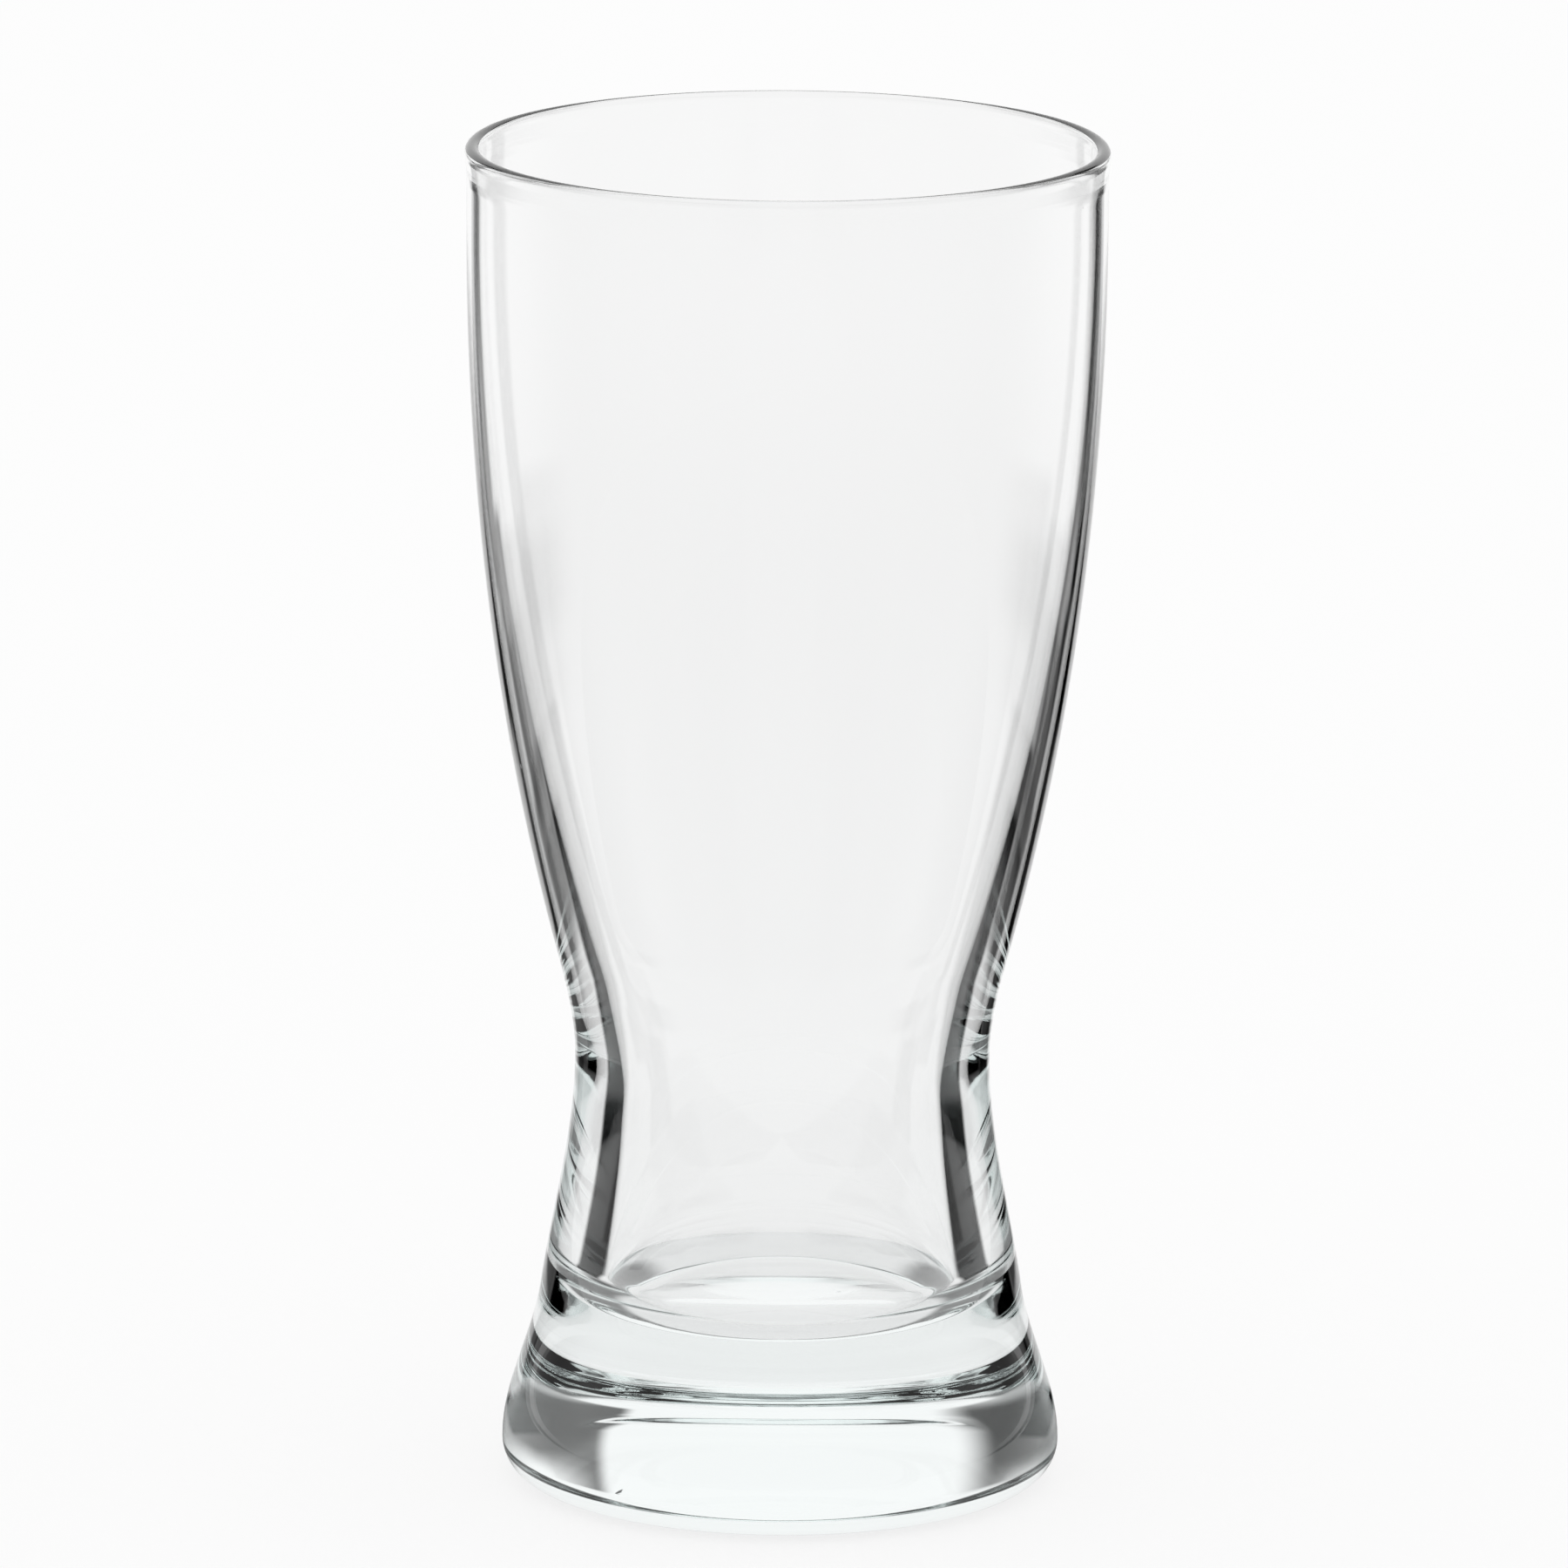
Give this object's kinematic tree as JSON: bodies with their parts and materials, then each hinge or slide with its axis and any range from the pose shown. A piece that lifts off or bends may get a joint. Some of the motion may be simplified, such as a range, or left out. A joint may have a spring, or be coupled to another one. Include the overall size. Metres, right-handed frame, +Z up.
{
  "type": "pilsner glass",
  "caption": "Hourglass-shaped clear glass for beer: a flared bowl with a beaded rim, a waist, and a wide foot with a thick solid floor.",
  "frame": {"origin": "centre of the ring that the foot stands on, at table height", "axes": "+Z up along the glass's axis, from the foot to the mouth; X and Y are level and equal by symmetry"},
  "size_m": [0.0702, 0.0702, 0.1492],
  "materials": {
    "clear_glass": "fire-polished, clear"
  },
  "bodies": {
    "root": {"glass": "clear_glass"}
  },
  "joints": []
}
